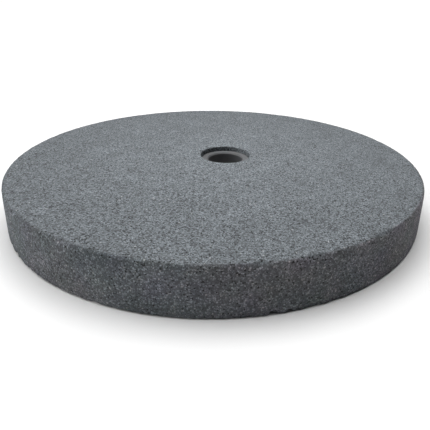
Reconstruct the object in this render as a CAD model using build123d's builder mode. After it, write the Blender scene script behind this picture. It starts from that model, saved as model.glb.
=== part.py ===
"""Bench grinding wheel: a straight disc of bonded grey abrasive with a moulded reducing bush in its bore.

Lengths are in millimetres. The disc lies on its lower face: that face is at Z = 0 and the spindle axis is +Z.
"""

import os

from build123d import *

# Abrasive disc
wheel_diameter = 250.0
wheel_width = 25.0
arris_radius = 1.2  # outer edges, worn round by loose grains
mouth_radius = 0.6  # edges of the bore, less exposed to wear

# Reducing bush
spindle_diameter = 22.2
bush_wall = 4.65  # fills the disc's standard bore of 32 mm
bush_recess = 3.0  # the bush stops short of both faces, so that flanges clamp on abrasive alone
barrel_gap = 0.25  # between the bush's plain barrel and the bore of the disc
spindle_lead = 0.8  # chamfer that guides the spindle in
barrel_lead = 0.5  # chamfer that guides the bush into the disc

# Crush ribs along the bush, which centre it in the disc
rib_count = 8
rib_width = 1.6
rib_clearance = 0.02
rib_root = 0.5  # depth that each rib reaches into the barrel
rib_lead = 1.0  # the ribs stop short of the bush's ends by this much

# Worked out from the sizes above, from the spindle outwards
spindle_radius = spindle_diameter / 2
barrel_radius = spindle_radius + bush_wall
seat_radius = barrel_radius + barrel_gap  # plain bore of the disc, where the bush sits
wheel_radius = wheel_diameter / 2
bush_length = wheel_width - 2 * bush_recess


# Abrasive disc: one pressed and fired ring, turned true, with its sharp edges gone
with BuildPart() as abrasive_disc:
    with BuildSketch(Plane.XZ) as section:
        with Locations((seat_radius, 0)):
            Rectangle(wheel_radius - seat_radius, wheel_width, align=(Align.MIN, Align.MIN))
        fillet(section.vertices().group_by(Axis.X)[0], mouth_radius)
        fillet(section.vertices().group_by(Axis.X)[-1], arris_radius)
    revolve(axis=Axis.Z)
abrasive_disc.part.label = "abrasive_disc"


# Reducing bush: a moulded sleeve with a lead on every edge and ribs that bear on the disc's bore
with BuildPart() as reducing_bush:
    with BuildSketch(Plane.XY.offset(bush_recess)):
        Circle(barrel_radius)
        Circle(spindle_radius, mode=Mode.SUBTRACT)
    extrude(amount=bush_length)
    rims = reducing_bush.edges().filter_by(GeomType.CIRCLE).group_by(SortBy.RADIUS)
    chamfer(rims[0], spindle_lead)
    rims = reducing_bush.edges().filter_by(GeomType.CIRCLE).group_by(SortBy.RADIUS)
    chamfer(rims[-1], barrel_lead)

    with BuildSketch(Plane.XY.offset(bush_recess + rib_lead)):
        with PolarLocations(seat_radius, rib_count):
            Rectangle(2 * (barrel_gap + rib_root), rib_width)
        Circle(seat_radius - rib_clearance, mode=Mode.INTERSECT)
    extrude(amount=bush_length - 2 * rib_lead)
reducing_bush.part.label = "reducing_bush"


os.makedirs("parts", exist_ok=True)
export_step(abrasive_disc.part, "parts/abrasive_disc.step")
export_step(reducing_bush.part, "parts/reducing_bush.step")
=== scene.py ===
"""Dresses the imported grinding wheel: open-grained abrasive, a moulded bush, a pale floor and soft light.

Everything is in metres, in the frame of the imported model: the wheel lies on Z = 0 and its spindle axis is +Z.
"""

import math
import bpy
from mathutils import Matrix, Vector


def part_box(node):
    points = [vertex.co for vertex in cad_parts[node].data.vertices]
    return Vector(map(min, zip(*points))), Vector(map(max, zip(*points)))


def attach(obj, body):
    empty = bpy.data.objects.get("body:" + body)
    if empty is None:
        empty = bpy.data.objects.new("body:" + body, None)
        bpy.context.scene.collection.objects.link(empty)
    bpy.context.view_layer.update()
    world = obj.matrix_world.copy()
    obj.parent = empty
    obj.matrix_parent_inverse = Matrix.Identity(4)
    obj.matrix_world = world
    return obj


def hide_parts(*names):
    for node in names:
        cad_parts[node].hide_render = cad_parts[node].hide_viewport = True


bl_info = {
    "name": "Grinding Wheel",
    "version": (1, 0, 0),
    "blender": (4, 5, 0),
    "location": "3D View > Sidebar > Grinding Wheel",
    "description": "Builds the grain and the bush of a bench grinding wheel round its packed model",
    "category": "Add Mesh",
}

import bpy
import numpy as np
from bpy.props import FloatProperty, FloatVectorProperty, IntProperty, PointerProperty
from mathutils import Matrix, Vector, noise

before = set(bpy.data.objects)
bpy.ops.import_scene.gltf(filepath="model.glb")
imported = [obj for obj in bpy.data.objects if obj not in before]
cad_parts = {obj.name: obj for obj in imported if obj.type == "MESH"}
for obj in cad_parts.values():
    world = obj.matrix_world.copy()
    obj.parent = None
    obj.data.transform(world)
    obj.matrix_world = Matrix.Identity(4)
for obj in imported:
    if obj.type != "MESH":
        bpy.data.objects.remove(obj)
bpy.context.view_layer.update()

MM = 0.001


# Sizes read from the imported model


def node_radii(name):
    """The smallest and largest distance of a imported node's surface from the spindle axis."""
    radii = [math.hypot(v.co.x, v.co.y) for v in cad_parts[name].data.vertices]
    return min(radii), max(radii)


SEAT_RADIUS, WHEEL_RADIUS = node_radii("abrasive_disc")
SPINDLE_RADIUS, RIB_CREST_RADIUS = node_radii("reducing_bush")
WHEEL_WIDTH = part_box("abrasive_disc")[1].z
BUSH_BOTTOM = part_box("reducing_bush")[0].z
BUSH_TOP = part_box("reducing_bush")[1].z


# Settings that a user would change


def length_setting(name, description, default):
    """A length, in metres."""
    return FloatProperty(name=name, description=description, default=default, min=0.0, unit="LENGTH")


def color_setting(name, description, default):
    """A linear colour."""
    return FloatVectorProperty(
        name=name, description=description, subtype="COLOR", default=default, min=0.0, max=1.0
    )


def strength_setting(name, description, default):
    """How bright a light makes a white surface that faces it: 1 is plain white in the render."""
    return FloatProperty(name=name, description=description, default=default, min=0.0)


class AbrasiveSettings(bpy.types.PropertyGroup):
    """Form and finish of the bonded abrasive disc."""

    arris_radius: length_setting("Arris Radius", "Rounding of the disc's outer edges", 1.2 * MM)
    mouth_radius: length_setting("Mouth Radius", "Rounding of the edges of the bore", 0.6 * MM)
    relief: length_setting("Relief", "Depth of the hollows between clusters of grain", 0.07 * MM)
    chip_size: length_setting("Chip Size", "How far a large chip reaches in from an outer edge", 2.6 * MM)
    grain_size: length_setting("Grain Size", "Usual width of one abrasive grain", 0.7 * MM)
    grain_color: color_setting("Grain Color", "Usual colour of the grain", (0.219, 0.245, 0.267))
    bond_color: color_setting("Bond Color", "Fired bond between the grains", (0.077, 0.084, 0.09))
    # Pore colour: painted shade deep inside pores and pits
    pore_shade_color: color_setting("Pore Color", "Painted shade deep inside an open pore", (0.016, 0.017, 0.018))
    # Crystal colour: pale broken grains, partly painted glints
    crystal_and_glint_color: color_setting("Crystal Color", "Grains with a bright broken face, partly a painted glint", (0.45, 0.465, 0.48))
    # Rim tint: a darker rim, partly what truing leaves and partly painted shade of the rim, which faces away
    # from the light above
    rim_wear_and_shade_tint: color_setting("Rim Tint", "Truing wear and painted shade on the rim, over the colour", (0.735, 0.74, 0.75))
    # Warm patches on the rim: partly metal-dust stain, partly painted warm bounce light on the rim's shaded
    # front
    warm_patch_tint: color_setting("Warm Patch Tint", "The same in warm patches: partly metal-dust stain, partly painted warm bounce light", (0.81, 0.73, 0.735))
    # Painted shade: the faces grow darker towards the outer edge, standing in for light that falls off away
    # from the middle
    edge_shade_tint: color_setting("Edge Tint", "Grime towards the outer edge, over the colour", (0.74, 0.74, 0.74))


class BushSettings(bpy.types.PropertyGroup):
    """Form and finish of the reducing bush."""

    rib_count: IntProperty(name="Ribs", description="Crush ribs along the barrel", default=8, min=1)
    rib_width: length_setting("Rib Width", "Width of a crush rib at its foot", 1.6 * MM)
    rib_lead: length_setting("Rib Lead", "How far the ribs stop short of the bush's ends", 1.0 * MM)
    barrel_gap: length_setting("Barrel Gap", "From the plain barrel to the disc's bore", 0.25 * MM)
    spindle_lead: length_setting("Spindle Lead", "Chamfer at each end of the spindle's bore", 0.8 * MM)
    barrel_lead: length_setting("Barrel Lead", "Chamfer at each end of the barrel", 0.5 * MM)
    edge_radius: length_setting("Edge Radius", "Rounding that the mould leaves on edges", 0.12 * MM)
    # Plastic colour: dark grey plastic, darkened partly as painted shade of the recess the bush sits in
    plastic_and_recess_shade_color: color_setting("Plastic Color", "Moulded plastic", (0.093, 0.094, 0.098))
    dust_color: color_setting("Dust Color", "Grinding dust that settles on the bush", (0.132, 0.145, 0.154))


class StageSettings(bpy.types.PropertyGroup):
    """Floor, light and camera."""

    floor_color: color_setting("Floor Color", "Floor, out to where it meets the horizon", (0.81, 0.81, 0.81))
    floor_radius: length_setting("Floor Radius", "How far out the floor reaches", 30.0)
    sky_strength: strength_setting("Sky", "Even light from all round", 0.02)
    top_strength: strength_setting("Top Light", "Wide soft light above the wheel", 0.99)
    left_strength: strength_setting("Left Light", "Wide soft light low at the left", 0.62)
    back_strength: strength_setting("Back Light", "Wide soft light low behind the wheel", 0.13)
    box_strength: strength_setting("Soft Box", "Round soft box above and behind the wheel", 0.22)


# Sections, rings and meshes


SECTION_STEP = 0.02 * MM  # between the points of a section, far less than between rings
LONGEST_LAST_GAP = 1.4  # from a section's last ring back to its first, in steps
FEWEST_VERTICES = 128  # in a ring
MOST_VERTICES = 1024
WIDEST_GAP = 1.25  # between neighbours in a ring, as a multiple of the spacing that is asked for


def rounded_section(corners):
    """Points and outward normals, close together, once round a closed section.

    Each corner is (radius, height, rounding). The corners run clockwise with the radius to the right and the
    height up, so the outside is on the left of the walk. Returns the distances walked, the points and the
    normals. Points and normals are rows of (radius, height).
    """
    places = np.array([corner[:2] for corner in corners])
    roundings = np.array([corner[2] for corner in corners])
    sides = np.roll(places, -1, axis=0) - places
    headings = np.arctan2(sides[:, 1], sides[:, 0])
    turns = (np.roll(headings, 1) - headings) % math.tau
    setbacks = roundings * np.tan(turns / 2)

    def outward(heading):
        """The unit normal on the left of a heading."""
        return np.stack([-np.sin(heading), np.cos(heading)], axis=-1)

    points, normals = [], []
    for i, heading in enumerate(headings):
        following = (i + 1) % len(corners)
        along = sides[i] / np.linalg.norm(sides[i])
        begin = places[i] + along * setbacks[i]
        end = places[following] - along * setbacks[following]
        share = np.arange(0.0, 1.0, SECTION_STEP / np.linalg.norm(end - begin))[:, None]
        points.append(begin + share * (end - begin))
        normals.append(np.broadcast_to(outward(heading), points[-1].shape))
        rounding = roundings[following]
        share = np.arange(0.0, 1.0, SECTION_STEP / (rounding * turns[following]))
        normals.append(outward(heading - share * turns[following]))
        points.append(end + rounding * (normals[-1] - outward(heading)))
    points, normals = np.concatenate(points), np.concatenate(normals)
    closed = np.concatenate([points, points[:1]])
    walked = np.concatenate([[0.0], np.cumsum(np.linalg.norm(np.diff(closed, axis=0), axis=1))])
    return walked, closed, np.concatenate([normals, normals[:1]])


def section_place(section, walk):
    """Radius and height at a distance walked along a section."""
    walked, points, _ = section
    return [float(np.interp(walk, walked, points[:, k])) for k in (0, 1)]


def stations(section, spacing):
    """Places of rings along a section, as distances walked, spaced as spacing(radius, height) says."""
    length = section[0][-1]
    found = [0.0]
    while True:
        step = spacing(*section_place(section, found[-1]))
        if found[-1] + LONGEST_LAST_GAP * step > length:
            return np.array(found)
        found.append(found[-1] + step)


def count_for(radius, spacing):
    """Vertices in a ring: the fewest, doubled until the gaps are narrow enough or the most is reached."""
    wanted = math.tau * radius / (WIDEST_GAP * spacing * FEWEST_VERTICES)
    return min(MOST_VERTICES, FEWEST_VERTICES * 2 ** max(0, math.ceil(math.log2(wanted))))


def ring_faces(first, count, next_first, next_count):
    """Faces between two rings of vertices, given by the number of their first vertex and their count.

    One count is the other times a power of two. Where they differ, the coarse ring's corners fan out to the
    fine ring.
    """
    if count == next_count:
        return [
            (first + i, next_first + i, next_first + (i + 1) % count, first + (i + 1) % count)
            for i in range(count)
        ]
    (few, coarse), (many, fine) = sorted([(count, first), (next_count, next_first)])
    per_side = many // few
    half = per_side // 2
    faces = []
    for i in range(few):
        corner, following = coarse + i, coarse + (i + 1) % few
        side = [fine + (i * per_side + k) % many for k in range(per_side + 1)]
        faces += [(corner, side[k], side[k + 1]) for k in range(half)]
        faces.append((corner, side[half], following))
        faces += [(following, side[k], side[k + 1]) for k in range(half, per_side)]
    return faces if coarse == first else [face[::-1] for face in faces]


def turned_mesh(name, section, places, counts, jitter=0.0, seed=0):
    """A section turned about the spindle axis into a closed mesh.

    places are the rings' distances along the section and counts their numbers of vertices. jitter moves each
    vertex along the surface, as a share of its distance to the next. Returns the mesh, the vertices as rows,
    their outward normals and their places in the section.
    """
    walked, points, normals = section
    random = np.random.default_rng(seed)
    gaps = np.diff(np.append(places, walked[-1]))
    gaps = np.minimum(gaps, np.roll(gaps, 1))
    along, angle, faces = [], [], []
    firsts = np.concatenate([[0], np.cumsum(counts)])
    for k, count in enumerate(counts):
        along.append(places[k] + jitter * gaps[k] * random.uniform(-0.5, 0.5, count))
        angle.append(math.tau * (np.arange(count) + jitter * random.uniform(-0.5, 0.5, count)) / count)
        following = (k + 1) % len(counts)
        faces += ring_faces(firsts[k], count, firsts[following], counts[following])
    along, angle = np.concatenate(along) % walked[-1], np.concatenate(angle)
    place = np.stack([np.interp(along, walked, points[:, k]) for k in (0, 1)], axis=1)
    normal = np.stack([np.interp(along, walked, normals[:, k]) for k in (0, 1)], axis=1)
    turn = np.stack([np.cos(angle), np.sin(angle)], axis=1)
    vertices = np.column_stack([turn * place[:, :1], place[:, 1]])
    outward = np.column_stack([turn * normal[:, :1], normal[:, 1]])
    mesh = bpy.data.meshes.new(name)
    mesh.from_pydata(vertices.tolist(), [], faces)
    mesh.polygons.foreach_set("use_smooth", np.ones(len(mesh.polygons), bool))
    return mesh, vertices, outward, place


def move_vertices(mesh, vertices):
    """Puts a mesh's vertices at new places, given as rows."""
    mesh.vertices.foreach_set("co", vertices.astype(np.float32).ravel())
    mesh.update()


def new_piece(name, mesh, node, material):
    """A piece in the scene that rides on the wheel, takes a node's place and wears a material."""
    piece = bpy.data.objects.new(name, mesh)
    bpy.context.scene.collection.objects.link(piece)
    mesh.materials.append(material)
    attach(piece, "root")
    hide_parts(node)
    return piece


# Abrasive disc


# Spacing of its mesh
ARRIS_STEP = 0.42 * MM  # between rings at an edge
EVEN_REACH = 1.2 * MM  # from an edge to where the rings begin to stand wider
STEP_GROWTH = 0.3  # how much wider they stand, for each unit of length beyond that
RING_STEP = 0.75 * MM  # the least between the vertices of a ring
STEPS_TO_RADIUS = 40  # near the bore the least is the radius over this
SAME_SURFACE = 0.3 * MM  # how near to the rim or the bore a place counts as on it
JITTER = 0.5  # keeps the relief from showing rows of vertices
JITTER_SEED = 7

# The widest that its rings stand apart on each surface
WIDEST_STEPS = {"rim": 1.05 * MM, "upper": 1.5 * MM, "lower": 2.4 * MM, "bore": 1.3 * MM}

# Relief
CLUSTER_SIZE = 1.7 * MM  # of grains that stand out together
FINER_CLUSTERS = 2.3  # how many times smaller the clusters of the second layer are
ARRIS_REACH = 3.0 * MM  # how far from an edge it is still crumbly
OUTER_CRUMBLE = 2.5  # what an outer edge adds to the relief's depth, as a multiple
INNER_CRUMBLE = 1.0  # the same at the edges of the bore

# Chips. The last three are each the middle, swing, least and most of a value that noise sets
CHIP_LENGTH = 4.5 * MM  # along the edge
FINER_CHIPS = 2.6  # how many times shorter the notches in a chip are
WORN_LENGTH = 50 * MM  # of stretches of edge with larger or smaller chips
WORN_SHARE = (0.55, 1.3, 0.15, 1.0)  # of a large chip, by stretches of edge
CHIP_SHARE = (0.45, 1.25, 0.02, 1.0)  # of a large chip, from chip to chip
CHIP_LEAN = (-0.3, 1.0, -0.6, 0.3)  # above 0 a chip is longer on the face than on the rim

NOISE_SHIFT = Vector((17.3, 5.1, 9.7))  # from one seed's noise to the next


def disc_part(radius, height):
    """Which surface of the disc a place in its section belongs to."""
    if abs(radius - WHEEL_RADIUS) < SAME_SURFACE:
        return "rim"
    if abs(radius - SEAT_RADIUS) < SAME_SURFACE:
        return "bore"
    return "upper" if height > WHEEL_WIDTH / 2 else "lower"


def edge_distance(radius, height, edge_radius):
    """From a place in the disc's section to the nearest edge at that radius."""
    return np.hypot(radius - edge_radius, np.minimum(height, WHEEL_WIDTH - height))


def disc_spacing(radius, height):
    """Distance between rings: small at the edges, wider in the middle of each surface."""
    nearest = min(edge_distance(radius, height, WHEEL_RADIUS), edge_distance(radius, height, SEAT_RADIUS))
    widest = WIDEST_STEPS[disc_part(radius, height)]
    return min(widest, ARRIS_STEP + STEP_GROWTH * max(0.0, nearest - EVEN_REACH))


def disc_count(radius, height):
    """Vertices in a ring of the disc."""
    finest = min(RING_STEP, radius / STEPS_TO_RADIUS)
    return count_for(radius, max(finest, disc_spacing(radius, height)))


def smooth_noise(vertices, size, seed):
    """Gradient noise at each vertex, about -1 to 1, with lumps of a given size."""
    shift = NOISE_SHIFT * seed
    return np.array([noise.noise(Vector(v) / size + shift) for v in vertices])


def spread(values, middle, swing, least, most):
    """Noise turned into values about a middle, held between the least and the most."""
    return np.clip(middle + swing * values, least, most)


def relief_depth(vertices, radius, height, settings):
    """How deep each vertex lies between clusters of grain. The relief is deeper at the crumbly edges."""
    near_outer = np.clip(1 - edge_distance(radius, height, WHEEL_RADIUS) / ARRIS_REACH, 0, 1)
    near_inner = np.clip(1 - edge_distance(radius, height, SEAT_RADIUS) / ARRIS_REACH, 0, 1)
    hollows = 0.5 - 0.5 * smooth_noise(vertices, CLUSTER_SIZE, 1)
    hollows += 0.5 - 0.5 * smooth_noise(vertices, CLUSTER_SIZE / FINER_CLUSTERS, 2)
    return settings.relief * hollows * (1 + OUTER_CRUMBLE * near_outer + INNER_CRUMBLE * near_inner)


def chip_legs(towards_rim, upright, settings):
    """How far the chip nearest to each vertex reaches in from its outer edge, on the face and on the rim."""
    edge = np.column_stack([WHEEL_RADIUS * towards_rim, WHEEL_WIDTH * (upright + 1) / 2])
    lumps = smooth_noise(edge, CHIP_LENGTH, 3) + 0.5 * smooth_noise(edge, CHIP_LENGTH / FINER_CHIPS, 4)
    worn = spread(smooth_noise(edge, WORN_LENGTH, 10), *WORN_SHARE)
    leg = settings.chip_size * worn * spread(lumps, *CHIP_SHARE)
    lean = spread(smooth_noise(edge, 2 * CHIP_LENGTH, 5), *CHIP_LEAN)
    return leg * (1 + lean), leg * (1 - lean)


def crumble(vertices, outward, place, settings):
    """The disc's vertices moved inwards: shallow relief all over and chips out of the outer edges.

    A chip is a slanting facet from one leg in on the face to one leg along the rim. A vertex outside the
    facet moves inwards along both legs alike until it lies on it.
    """
    radius, height = place[:, 0], place[:, 1]
    moved = vertices - outward * relief_depth(vertices, radius, height, settings)[:, None]
    upright = np.where(height > WHEEL_WIDTH / 2, 1.0, -1.0)
    towards_rim = vertices[:, :2] / radius[:, None]
    face_leg, rim_leg = chip_legs(towards_rim, upright, settings)
    from_face = np.minimum(height, WHEEL_WIDTH - height)
    cut = np.clip(1 - (WHEEL_RADIUS - radius) / face_leg - from_face / rim_leg, 0, None) / 2
    moved[:, :2] -= towards_rim * (cut * face_leg)[:, None]
    moved[:, 2] -= upright * cut * rim_leg
    return moved


def build_abrasive_disc(settings, material):
    """The pressed and fired disc, with relief and chipped edges."""
    section = rounded_section([
        (SEAT_RADIUS, 0.0, settings.mouth_radius),
        (SEAT_RADIUS, WHEEL_WIDTH, settings.mouth_radius),
        (WHEEL_RADIUS, WHEEL_WIDTH, settings.arris_radius),
        (WHEEL_RADIUS, 0.0, settings.arris_radius),
    ])
    places = stations(section, disc_spacing)
    counts = [disc_count(*section_place(section, walk)) for walk in places]
    mesh, vertices, outward, place = turned_mesh(
        "abrasive_disc_grain", section, places, counts, JITTER, JITTER_SEED
    )
    move_vertices(mesh, crumble(vertices, outward, place, settings))
    return new_piece("abrasive_disc_grain", mesh, "abrasive_disc", material)


# Reducing bush


BUSH_SEGMENTS = 384
BUSH_STEP = 1.1 * MM  # between rings along the bush's straight walls
STEPS_TO_EDGE_RADIUS = 3  # at a softened edge the rings are this part of its rounding apart
ON_BARREL = 0.01 * MM  # how near to the barrel's radius a place counts as on it


def bush_corners(settings):
    """Corners of the sleeve's section: the spindle's bore and the barrel, with leads at their ends."""
    barrel_radius = SEAT_RADIUS - settings.barrel_gap
    upper = [
        (SPINDLE_RADIUS, BUSH_TOP - settings.spindle_lead, settings.edge_radius),
        (SPINDLE_RADIUS + settings.spindle_lead, BUSH_TOP, settings.edge_radius),
        (barrel_radius - settings.barrel_lead, BUSH_TOP, settings.edge_radius),
        (barrel_radius, BUSH_TOP - settings.barrel_lead, settings.edge_radius),
    ]
    ends = BUSH_TOP + BUSH_BOTTOM
    lower = [(radius, ends - height, rounding) for radius, height, rounding in reversed(upper)]
    return upper + lower


def rib_rise(vertices, place, settings):
    """How far each vertex stands out from the barrel in a crush rib.

    A rib's crest is half as wide as its foot, and its ends slope over half a step.
    """
    barrel_radius = SEAT_RADIUS - settings.barrel_gap
    on_barrel = np.isclose(place[:, 0], barrel_radius, atol=ON_BARREL)
    pitch = math.tau / settings.rib_count
    angle = np.arctan2(vertices[:, 1], vertices[:, 0])
    from_rib = np.abs((angle + pitch / 2) % pitch - pitch / 2) * barrel_radius
    from_end = np.minimum(BUSH_TOP - place[:, 1], place[:, 1] - BUSH_BOTTOM) - settings.rib_lead
    across = np.clip(2 - 4 * from_rib / settings.rib_width, 0, 1)
    lengthways = np.clip(from_end / (BUSH_STEP / 2), 0, 1)
    return (RIB_CREST_RADIUS - barrel_radius) * across * lengthways * on_barrel


def build_reducing_bush(settings, material):
    """The moulded sleeve with its leads, softened edges and crush ribs."""
    corners = bush_corners(settings)
    corner_places = np.array([corner[:2] for corner in corners])
    finest = settings.edge_radius / STEPS_TO_EDGE_RADIUS

    def spacing(radius, height):
        """Half the way to the nearest corner, within limits."""
        nearest = np.hypot(corner_places[:, 0] - radius, corner_places[:, 1] - height).min()
        return min(BUSH_STEP, max(finest, nearest / 2))

    section = rounded_section(corners)
    places = stations(section, spacing)
    counts = [BUSH_SEGMENTS] * len(places)
    mesh, vertices, outward, place = turned_mesh("reducing_bush_moulded", section, places, counts)
    move_vertices(mesh, vertices + outward * rib_rise(vertices, place, settings)[:, None])
    return new_piece("reducing_bush_moulded", mesh, "reducing_bush", material)


# Shader groups


class Nodes:
    """A short way to add nodes and links to a node tree."""

    def __init__(self, tree):
        self.tree = tree

    def feed(self, socket, value):
        """Links an input to an output or sets it to a constant. A constant colour may leave out its alpha."""
        if isinstance(value, bpy.types.NodeSocket):
            self.tree.links.new(value, socket)
        elif socket.type == "RGBA" and len(value) == 3:
            socket.default_value = (*value, 1.0)
        else:
            socket.default_value = value

    def fill(self, node, values):
        """Feeds a node's inputs in order."""
        for socket, value in zip(node.inputs, values):
            self.feed(socket, value)

    def add(self, kind, **given):
        """Adds a node. A keyword is a property of the node, or else one of its inputs.

        An input goes by its name, with _ for each space, or by its number, as in in0.
        """
        node = self.tree.nodes.new(kind)
        for key, value in given.items():
            if hasattr(node, key):
                setattr(node, key, value)
            elif key.startswith("in"):
                self.feed(node.inputs[int(key[2:])], value)
            else:
                self.feed(node.inputs[key.replace("_", " ")], value)
        return node

    def math(self, operation, *values, clamp=False):
        """The result of a Math node."""
        node = self.add("ShaderNodeMath", operation=operation, use_clamp=clamp)
        self.fill(node, values)
        return node.outputs[0]

    def weighted_sum(self, *terms):
        """The sum of values, given as pairs of a value and its weight."""
        products = [self.math("MULTIPLY", value, weight) for value, weight in terms]
        result = products[0]
        for product in products[1:]:
            result = self.math("ADD", result, product)
        return result

    def fade(self, value, low, high):
        """0 up to low, 1 from high on, and smooth between. low may be the larger."""
        node = self.add("ShaderNodeMapRange", interpolation_type="SMOOTHSTEP")
        self.fill(node, (value, low, high, 0.0, 1.0))
        return node.outputs[0]

    def mix(self, factor, first, second, blend="MIX"):
        """A mix of two colours, or with MULTIPLY the first with some of the second's tint."""
        node = self.add("ShaderNodeMix", data_type="RGBA", blend_type=blend, clamp_factor=True)
        self.feed(node.inputs["Factor"], factor)
        colors = [socket for socket in node.inputs if socket.type == "RGBA"]
        for socket, value in zip(colors, (first, second)):
            self.feed(socket, value)
        return next(socket for socket in node.outputs if socket.type == "RGBA")

    def noise(self, position, scale, detail):
        """The outputs of a noise texture."""
        return self.add("ShaderNodeTexNoise", Vector=position, Scale=scale, Detail=detail).outputs


def new_group(name, inputs, outputs):
    """A shader node group with named sockets. Returns it, its nodes, its inputs and its output node."""
    group = bpy.data.node_groups.new(name, "ShaderNodeTree")
    for socket_name, kind, default in inputs:
        socket = group.interface.new_socket(name=socket_name, in_out="INPUT", socket_type="NodeSocket" + kind)
        if default is not None:
            socket.default_value = default
    for socket_name, kind in outputs:
        group.interface.new_socket(name=socket_name, in_out="OUTPUT", socket_type="NodeSocket" + kind)
    nodes = Nodes(group)
    given = nodes.add("NodeGroupInput").outputs
    return group, nodes, given, nodes.add("NodeGroupOutput")


def tone_drift_group():
    """Slow drift of tone and hue over a surface, as firing and handling leave it."""
    group, nodes, given, result = new_group(
        "Tone Drift",
        [("Color", "Color", None), ("Position", "Vector", None), ("Patch Size", "Float", 14 * MM),
         ("Tone", "Float", 0.5), ("Hue", "Float", 0.45)],
        [("Color", "Color")],
    )
    patches = nodes.noise(given["Position"], nodes.math("DIVIDE", 1.0, given["Patch Size"]), detail=3.0)
    lift = nodes.math("MULTIPLY", nodes.math("SUBTRACT", patches[0], 0.5), given["Tone"])
    toned = nodes.add("ShaderNodeHueSaturation", Color=given["Color"], Value=nodes.math("ADD", 1.0, lift))

    # The noise is middle grey on average, so doubled it is white on average
    tint = nodes.add("ShaderNodeVectorMath", operation="SCALE", Vector=patches["Color"], Scale=2.0)
    nodes.fill(result, [nodes.mix(given["Hue"], toned.outputs[0], tint.outputs[0], "MULTIPLY")])
    return group


# The texture of the grain, with lengths counted in grains
OUTLINE_BENDS = 1.5  # of the outlines, to the length of one grain
OUTLINE_REACH = 1.5  # from one extreme of those bends to the other
SPECKS = 2.6  # to the length of one grain
BOND_BEGINS = 0.38  # from the middle of a grain
BOND_FULL = 0.62
BOND_COVER = 0.75  # how much of the bond's colour shows where it is full
GRAIN_ROUGHNESS = 0.9
CRYSTAL_ROUGHNESS = 0.45


def bonded_grain_group():
    """Abrasive grain in a fired bond: grains of several tones, thin bond, pores and pits painted dark with
    shade, and bright faces that are partly painted glints.

    With Contrast above 0 a few grains are dark, and below 0 a few are bright. Pores, Pits and Crystals are
    the shares of cells or grains that have one.
    """
    group, nodes, given, result = new_group(
        "Bonded Grain",
        [("Position", "Vector", None), ("Grain Size", "Float", 1 * MM), ("Grain Color", "Color", None),
         ("Bond Color", "Color", None), ("Pore Color", "Color", None), ("Crystal Color", "Color", None),
         ("Contrast", "Float", 1.0), ("Pores", "Float", 0.25), ("Pits", "Float", 0.3),
         ("Crystals", "Float", 0.01)],
        [("Color", "Color"), ("Roughness", "Float"), ("Height", "Float")],
    )
    scale = nodes.math("DIVIDE", 1.0, given["Grain Size"])

    # Grains get their angular outlines from a position that strays from the true one
    stray = nodes.noise(given["Position"], nodes.math("MULTIPLY", scale, OUTLINE_BENDS), detail=1.0)["Color"]
    stray = nodes.add("ShaderNodeVectorMath", operation="SUBTRACT", in0=stray, in1=(0.5, 0.5, 0.5)).outputs[0]
    reach = nodes.math("MULTIPLY", given["Grain Size"], OUTLINE_REACH)
    stray = nodes.add("ShaderNodeVectorMath", operation="SCALE", Vector=stray, Scale=reach).outputs[0]
    place = nodes.add("ShaderNodeVectorMath", operation="ADD", in0=given["Position"], in1=stray).outputs[0]

    def holes(cell_size, share, edge, bottom):
        """Hollows in a share of the cells: 0 outside the edge and 1 at the bottom, by distance in cells."""
        cell_scale = nodes.math("DIVIDE", scale, cell_size)
        cells = nodes.add("ShaderNodeTexVoronoi", Vector=place, Scale=cell_scale).outputs
        pick = nodes.add("ShaderNodeSeparateColor", Color=cells["Color"]).outputs[2]
        return nodes.math(
            "MULTIPLY", nodes.math("LESS_THAN", pick, share), nodes.fade(cells["Distance"], edge, bottom)
        )

    grain = nodes.add("ShaderNodeTexVoronoi", Vector=place, Scale=scale).outputs
    tone_draw, crystal_draw, height_draw = nodes.add("ShaderNodeSeparateColor", Color=grain["Color"]).outputs
    specks = nodes.noise(given["Position"], nodes.math("MULTIPLY", scale, SPECKS), detail=2.0)[0]

    # The square of an even draw is a third on average, so the contrast leaves the mean tone as it is
    lighter = nodes.math("SUBTRACT", 1 / 3, nodes.math("MULTIPLY", tone_draw, tone_draw))
    tone = nodes.math("ADD", 1.0, nodes.math("MULTIPLY", lighter, given["Contrast"]))
    tone = nodes.math("MULTIPLY", tone, nodes.math("ADD", 0.5, specks))
    color = nodes.add("ShaderNodeHueSaturation", Color=given["Grain Color"], Value=tone).outputs[0]
    # Crystals: pale broken grains whose bright colour is partly a painted glint; their lower roughness gives a
    # real one
    crystal = nodes.math("GREATER_THAN", crystal_draw, nodes.math("SUBTRACT", 1.0, given["Crystals"]))
    color = nodes.mix(crystal, color, given["Crystal Color"])
    bond = nodes.fade(grain["Distance"], BOND_BEGINS, BOND_FULL)
    color = nodes.mix(nodes.math("MULTIPLY", bond, BOND_COVER), color, given["Bond Color"])
    pores = holes(cell_size=1.1, share=given["Pores"], edge=0.7, bottom=0.4)
    pits = holes(cell_size=8.0, share=given["Pits"], edge=0.13, bottom=0.07)
    hollow = nodes.math("MAXIMUM", pores, pits)
    # Painted shade: pores and pits take a near-black colour, as shade deep in the hollows, on top of their dip
    # in the bump
    color = nodes.mix(hollow, color, given["Pore Color"])
    gloss = nodes.math("MULTIPLY", crystal, GRAIN_ROUGHNESS - CRYSTAL_ROUGHNESS)
    roughness = nodes.math("SUBTRACT", GRAIN_ROUGHNESS, gloss)
    height = nodes.weighted_sum((height_draw, 0.6), (bond, -0.5), (specks, 0.3), (hollow, -1.2))
    nodes.fill(result, (color, roughness, height))
    return group


DUST_ROUGHNESS = 0.95  # of a surface that dust covers


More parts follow.
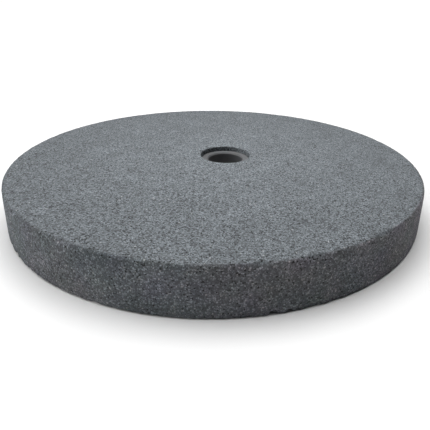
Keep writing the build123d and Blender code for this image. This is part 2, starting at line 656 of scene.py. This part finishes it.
def settled_dust_group():
    """Grey grinding dust that lies in patches on what faces upwards."""
    group, nodes, given, result = new_group(
        "Settled Dust",
        [("Color", "Color", None), ("Roughness", "Float", 0.5), ("Position", "Vector", None),
         ("Dust Color", "Color", None), ("Patch Size", "Float", 4 * MM), ("Amount", "Float", 0.3)],
        [("Color", "Color"), ("Roughness", "Float")],
    )
    patches = nodes.noise(given["Position"], nodes.math("DIVIDE", 1.0, given["Patch Size"]), detail=5.0)[0]
    normal = nodes.add("ShaderNodeNewGeometry").outputs["Normal"]
    upwards = nodes.add("ShaderNodeSeparateXYZ", Vector=normal).outputs[2]
    level = nodes.fade(upwards, low=0.1, high=0.9)
    cover = nodes.math("MULTIPLY", nodes.fade(patches, low=0.35, high=0.75), level)
    cover = nodes.math("MULTIPLY", cover, given["Amount"], clamp=True)
    color = nodes.mix(cover, given["Color"], given["Dust Color"])
    rougher = nodes.math("SUBTRACT", DUST_ROUGHNESS, given["Roughness"])
    roughness = nodes.math("ADD", given["Roughness"], nodes.math("MULTIPLY", cover, rougher))
    nodes.fill(result, (color, roughness))
    return group


def group_named(name, build):
    """The shader group of that name, made the first time that it is asked for."""
    return bpy.data.node_groups.get(name) or build()


# Materials


# Finish of the disc, each on the faces and then on the rim
GRAIN_CONTRAST = (1.02, -1.28)
PORE_SHARE = (0.17, 0.1)
PIT_SHARE = (0.3, 0.1)
# More crystals on the rim: partly pale grains, partly painted glints of rim facets catching light from above
CRYSTAL_SHARE = (0.003, 0.023)
TONE_DRIFT = (0.45, 1.0)
HUE_DRIFT = (0.0, 0.11)

WARM_PATCH_SIZE = 80 * MM  # of the rim's warm patches: partly metal-dust stain, partly painted warm bounce light
WARM_PATCH_FADE = (0.4, 0.55)  # where in the noise a warm patch begins and is full
GRAIN_BUMP = 0.3  # height of the bumps, in grains
SKIN_SIZE = 0.5 * MM  # of the unevenness in the moulded skin
SKIN_BUMP = 0.05 * MM


def new_material(name):
    """An empty material with its surface shader. Returns it, its nodes and the shader."""
    material = bpy.data.materials.new(name)
    material.use_nodes = True
    nodes = Nodes(material.node_tree)
    return material, nodes, material.node_tree.nodes["Principled BSDF"]


def abrasive_material(settings):
    """Grey abrasive grain; pores painted dark with shade, bright crystals partly painted glints; the rim
    darker, partly truing and partly painted shade, with warm patches, partly stain and partly painted bounce
    light; the faces darker towards the edge with painted shade.
    """
    material, nodes, surface = new_material("bonded_abrasive")
    position = nodes.add("ShaderNodeTexCoord").outputs["Object"]
    level = nodes.add("ShaderNodeVectorMath", operation="MULTIPLY", in0=position, in1=(1.0, 1.0, 0.0))
    radius = nodes.add("ShaderNodeVectorMath", operation="LENGTH", Vector=level.outputs[0]).outputs["Value"]

    # The rim's finish and its painted shade begin across its rounded edges
    arris = settings.arris_radius
    rim = nodes.fade(radius, low=WHEEL_RADIUS - 1.5 * arris, high=WHEEL_RADIUS - 0.5 * arris)

    def face_to_rim(on_face, on_rim):
        """One value on the faces and another on the rim."""
        return nodes.math("ADD", on_face, nodes.math("MULTIPLY", rim, on_rim - on_face))

    grain = nodes.add(
        "ShaderNodeGroup",
        node_tree=group_named("Bonded Grain", bonded_grain_group),
        Position=position,
        Grain_Size=settings.grain_size,
        Grain_Color=settings.grain_color[:],
        Bond_Color=settings.bond_color[:],
        Pore_Color=settings.pore_shade_color[:],
        Crystal_Color=settings.crystal_and_glint_color[:],
        Contrast=face_to_rim(*GRAIN_CONTRAST),
        Pores=face_to_rim(*PORE_SHARE),
        Pits=face_to_rim(*PIT_SHARE),
        Crystals=face_to_rim(*CRYSTAL_SHARE),
    ).outputs
    drifted = nodes.add(
        "ShaderNodeGroup",
        node_tree=group_named("Tone Drift", tone_drift_group),
        Color=grain["Color"],
        Position=position,
        Tone=face_to_rim(*TONE_DRIFT),
        Hue=face_to_rim(*HUE_DRIFT),
    ).outputs
    # Painted shade: darker in step with the distance from the spindle axis, out to the edge
    outwards = nodes.math("DIVIDE", radius, WHEEL_RADIUS, clamp=True)
    edge_shaded = nodes.mix(outwards, drifted["Color"], settings.edge_shade_tint[:], "MULTIPLY")
    # Warm patches on the rim: partly metal-dust stain, partly painted warm bounce light
    warm_patches = nodes.fade(nodes.noise(position, 1 / WARM_PATCH_SIZE, detail=2.0)[0], *WARM_PATCH_FADE)
    rim_shade_and_warm_patches = nodes.mix(warm_patches, settings.rim_wear_and_shade_tint[:], settings.warm_patch_tint[:])
    bump = nodes.add(
        "ShaderNodeBump", Height=grain["Height"], Strength=0.6, Distance=GRAIN_BUMP * settings.grain_size
    )
    # Painted shade on the rim: its colour darkened by the rim tint, partly truing wear, partly shade of the
    # side away from the light above
    nodes.feed(surface.inputs["Base Color"], nodes.mix(rim, edge_shaded, rim_shade_and_warm_patches, "MULTIPLY"))
    nodes.feed(surface.inputs["Roughness"], grain["Roughness"])
    nodes.feed(surface.inputs["Normal"], bump.outputs[0])
    return material


def plastic_material(settings):
    """Satin moulded plastic with a little grinding dust; its colour is darkened partly with painted shade of
    the recess it sits in.
    """
    material, nodes, surface = new_material("moulded_plastic")
    position = nodes.add("ShaderNodeTexCoord").outputs["Object"]
    drifted = nodes.add(
        "ShaderNodeGroup",
        node_tree=group_named("Tone Drift", tone_drift_group),
        Color=settings.plastic_and_recess_shade_color[:],
        Position=position,
        Patch_Size=6 * MM,
        Tone=0.3,
        Hue=0.08,
    ).outputs
    dusty = nodes.add(
        "ShaderNodeGroup",
        node_tree=group_named("Settled Dust", settled_dust_group),
        Color=drifted["Color"],
        Roughness=0.6,
        Position=position,
        Dust_Color=settings.dust_color[:],
        Amount=0.35,
    ).outputs
    skin = nodes.noise(position, 1 / SKIN_SIZE, detail=3.0)[0]
    bump = nodes.add("ShaderNodeBump", Height=skin, Strength=0.15, Distance=SKIN_BUMP)
    nodes.feed(surface.inputs["Base Color"], dusty["Color"])
    nodes.feed(surface.inputs["Roughness"], dusty["Roughness"])
    nodes.feed(surface.inputs["Specular IOR Level"], 0.3)
    nodes.feed(surface.inputs["Normal"], bump.outputs[0])
    return material


def floor_material(settings):
    """Matt pale paint."""
    material, nodes, surface = new_material("pale_floor")
    nodes.feed(surface.inputs["Base Color"], settings.floor_color[:])
    nodes.feed(surface.inputs["Roughness"], 0.9)
    nodes.feed(surface.inputs["Specular IOR Level"], 0.0)
    return material


# Stage


# The camera, worked out from the outline of the wheel and its hole in the photograph
PHOTO_SIDE = 430  # pixels, both ways
SENSOR_WIDTH = 36.0  # of the camera, in millimetres as Blender counts them
CAMERA_BACK = 2.0338 * WHEEL_RADIUS  # in front of the spindle axis
CAMERA_UP = 0.7143 * WHEEL_RADIUS  # above the upper face
CAMERA_PAN = 0.1144  # turned to the right, in radians
CAMERA_TILT = 0.324  # turned down
CAMERA_ROLL = -0.0551  # turned about its own line of sight
FOCAL_PIXELS = 404.84
CENTRE_PIXEL = (269.6, 150.0)  # where the camera's axis meets the photograph
NEAREST_SEEN = 0.01
FARTHEST_SEEN = 50.0

# Each distant light's azimuth from +X towards +Y and its angle above the floor, in degrees
TOP_LIGHT = (90, 80)
LEFT_LIGHT = (180, 25)
BACK_LIGHT = (90, 25)
LIGHT_WIDTH = 60  # how wide each of them looks from the wheel, in degrees

SOFT_BOX_WIDTH = 0.4
SOFT_BOX_PLACE = (0.0, 0.2, 0.4)
SEEN_SKY = 1.15  # what the camera sees of the sky, well on the white side
FLOOR_SEGMENTS = 96


def build_camera():
    """The camera, at the photograph's angle, with its frame shifted as the photograph was cropped."""
    data = bpy.data.cameras.new("photo_camera")
    data.sensor_width = SENSOR_WIDTH
    data.lens = SENSOR_WIDTH * FOCAL_PIXELS / PHOTO_SIDE
    data.shift_x = (PHOTO_SIDE / 2 - CENTRE_PIXEL[0]) / PHOTO_SIDE
    data.shift_y = (CENTRE_PIXEL[1] - PHOTO_SIDE / 2) / PHOTO_SIDE
    data.clip_start = NEAREST_SEEN
    data.clip_end = FARTHEST_SEEN
    forward = Vector((
        math.sin(CAMERA_PAN) * math.cos(CAMERA_TILT),
        math.cos(CAMERA_PAN) * math.cos(CAMERA_TILT),
        -math.sin(CAMERA_TILT),
    ))
    right = Vector((math.cos(CAMERA_PAN), -math.sin(CAMERA_PAN), 0.0))
    up = right.cross(forward)
    facing = Matrix((right, up, -forward)).transposed() @ Matrix.Rotation(-CAMERA_ROLL, 3, "Z")
    camera = bpy.data.objects.new("photo_camera", data)
    place = Matrix.Translation((0.0, -CAMERA_BACK, WHEEL_WIDTH + CAMERA_UP))
    camera.matrix_world = place @ facing.to_4x4()
    bpy.context.scene.collection.objects.link(camera)
    bpy.context.scene.camera = camera
    return camera


def build_floor(settings, material):
    """A level round floor that reaches out to the horizon."""
    mesh = bpy.data.meshes.new("floor")
    angles = [math.tau * k / FLOOR_SEGMENTS for k in range(FLOOR_SEGMENTS)]
    reach = settings.floor_radius
    outline = [(reach * math.cos(a), reach * math.sin(a), 0.0) for a in angles]
    mesh.from_pydata(outline, [], [range(FLOOR_SEGMENTS)])
    mesh.materials.append(material)
    floor = bpy.data.objects.new("floor", mesh)
    bpy.context.scene.collection.objects.link(floor)
    return floor


def soft_light(name, direction, strength):
    """A distant, very wide light in a direction given as azimuth and elevation in degrees."""
    data = bpy.data.lights.new(name, "SUN")
    data.angle = math.radians(LIGHT_WIDTH)
    data.energy = math.pi * strength
    light = bpy.data.objects.new(name, data)
    azimuth, elevation = (math.radians(angle) for angle in direction)
    level = math.cos(elevation)
    towards = Vector((math.cos(azimuth) * level, math.sin(azimuth) * level, math.sin(elevation)))
    light.location = towards
    light.rotation_euler = towards.to_track_quat("Z", "Y").to_euler()
    bpy.context.scene.collection.objects.link(light)
    return light


def soft_box(name, place, strength):
    """A round light that points straight down. Its strength counts on the floor right under it."""
    data = bpy.data.lights.new(name, "AREA")
    data.shape = "DISK"
    data.size = SOFT_BOX_WIDTH
    falloff = 1 + (2 * place[2] / SOFT_BOX_WIDTH) ** 2
    data.energy = strength * falloff * math.pi * math.pi * SOFT_BOX_WIDTH**2 / 4
    light = bpy.data.objects.new(name, data)
    light.location = place
    light.visible_camera = False
    bpy.context.scene.collection.objects.link(light)
    return light


def build_sky(settings):
    """A sky that lights faintly, but that the camera sees as white."""
    world = bpy.data.worlds.new("studio")
    bpy.context.scene.world = world
    world.use_nodes = True
    nodes = Nodes(world.node_tree)
    seen = nodes.add("ShaderNodeLightPath").outputs["Is Camera Ray"]
    shown = nodes.math("MULTIPLY", seen, SEEN_SKY - settings.sky_strength)
    background = world.node_tree.nodes["Background"]
    nodes.feed(background.inputs["Color"], (1.0, 1.0, 1.0))
    nodes.feed(background.inputs["Strength"], nodes.math("ADD", shown, settings.sky_strength))

    # Full white stays white in the picture
    bpy.context.scene.view_settings.view_transform = "Standard"


def build_lights(settings):
    """Three wide soft lights and a soft box above the wheel."""
    soft_light("top_light", TOP_LIGHT, settings.top_strength)
    soft_light("left_light", LEFT_LIGHT, settings.left_strength)
    soft_light("back_light", BACK_LIGHT, settings.back_strength)
    soft_box("soft_box", SOFT_BOX_PLACE, settings.box_strength)


# Operators, panel and registration


class GRINDINGWHEEL_OT_abrasive_disc(bpy.types.Operator):
    """Build the bonded abrasive disc"""

    bl_idname = "grinding_wheel.abrasive_disc"
    bl_label = "Abrasive Disc"
    bl_options = {"REGISTER", "UNDO"}

    def execute(self, context):
        settings = context.scene.wheel_abrasive
        build_abrasive_disc(settings, abrasive_material(settings))
        return {"FINISHED"}


class GRINDINGWHEEL_OT_reducing_bush(bpy.types.Operator):
    """Build the moulded reducing bush"""

    bl_idname = "grinding_wheel.reducing_bush"
    bl_label = "Reducing Bush"
    bl_options = {"REGISTER", "UNDO"}

    def execute(self, context):
        settings = context.scene.wheel_bush
        build_reducing_bush(settings, plastic_material(settings))
        return {"FINISHED"}


class GRINDINGWHEEL_OT_stage(bpy.types.Operator):
    """Build the floor, the lights and the camera"""

    bl_idname = "grinding_wheel.stage"
    bl_label = "Stage"
    bl_options = {"REGISTER", "UNDO"}

    def execute(self, context):
        settings = context.scene.wheel_stage
        build_floor(settings, floor_material(settings))
        build_sky(settings)
        build_lights(settings)
        build_camera()
        return {"FINISHED"}


class GRINDINGWHEEL_PT_panel(bpy.types.Panel):
    """Settings and builders of the grinding wheel"""

    bl_label = "Grinding Wheel"
    bl_idname = "GRINDINGWHEEL_PT_panel"
    bl_space_type = "VIEW_3D"
    bl_region_type = "UI"
    bl_category = "Grinding Wheel"

    def draw(self, context):
        for operator, name in STEPS:
            box = self.layout.box()
            settings = getattr(context.scene, name)
            for setting in settings.bl_rna.properties.keys():
                if setting not in ("name", "rna_type"):
                    box.prop(settings, setting)
            box.operator(operator.bl_idname)


STEPS = (
    (GRINDINGWHEEL_OT_abrasive_disc, "wheel_abrasive"),
    (GRINDINGWHEEL_OT_reducing_bush, "wheel_bush"),
    (GRINDINGWHEEL_OT_stage, "wheel_stage"),
)
SETTINGS = {
    "wheel_abrasive": AbrasiveSettings,
    "wheel_bush": BushSettings,
    "wheel_stage": StageSettings,
}
CLASSES = (*SETTINGS.values(), *[operator for operator, _ in STEPS], GRINDINGWHEEL_PT_panel)


def register():
    """Makes the classes and the scene's settings known to Blender."""
    for item in CLASSES:
        bpy.utils.register_class(item)
    for name, kind in SETTINGS.items():
        setattr(bpy.types.Scene, name, PointerProperty(type=kind))


def unregister():
    """Takes the settings and the classes away again."""
    for name in SETTINGS:
        delattr(bpy.types.Scene, name)
    for item in reversed(CLASSES):
        bpy.utils.unregister_class(item)


def main():
    """Builds every piece and the stage."""
    register()
    bpy.ops.grinding_wheel.abrasive_disc()
    bpy.ops.grinding_wheel.reducing_bush()
    bpy.ops.grinding_wheel.stage()


if __name__ == "__main__":
    main()
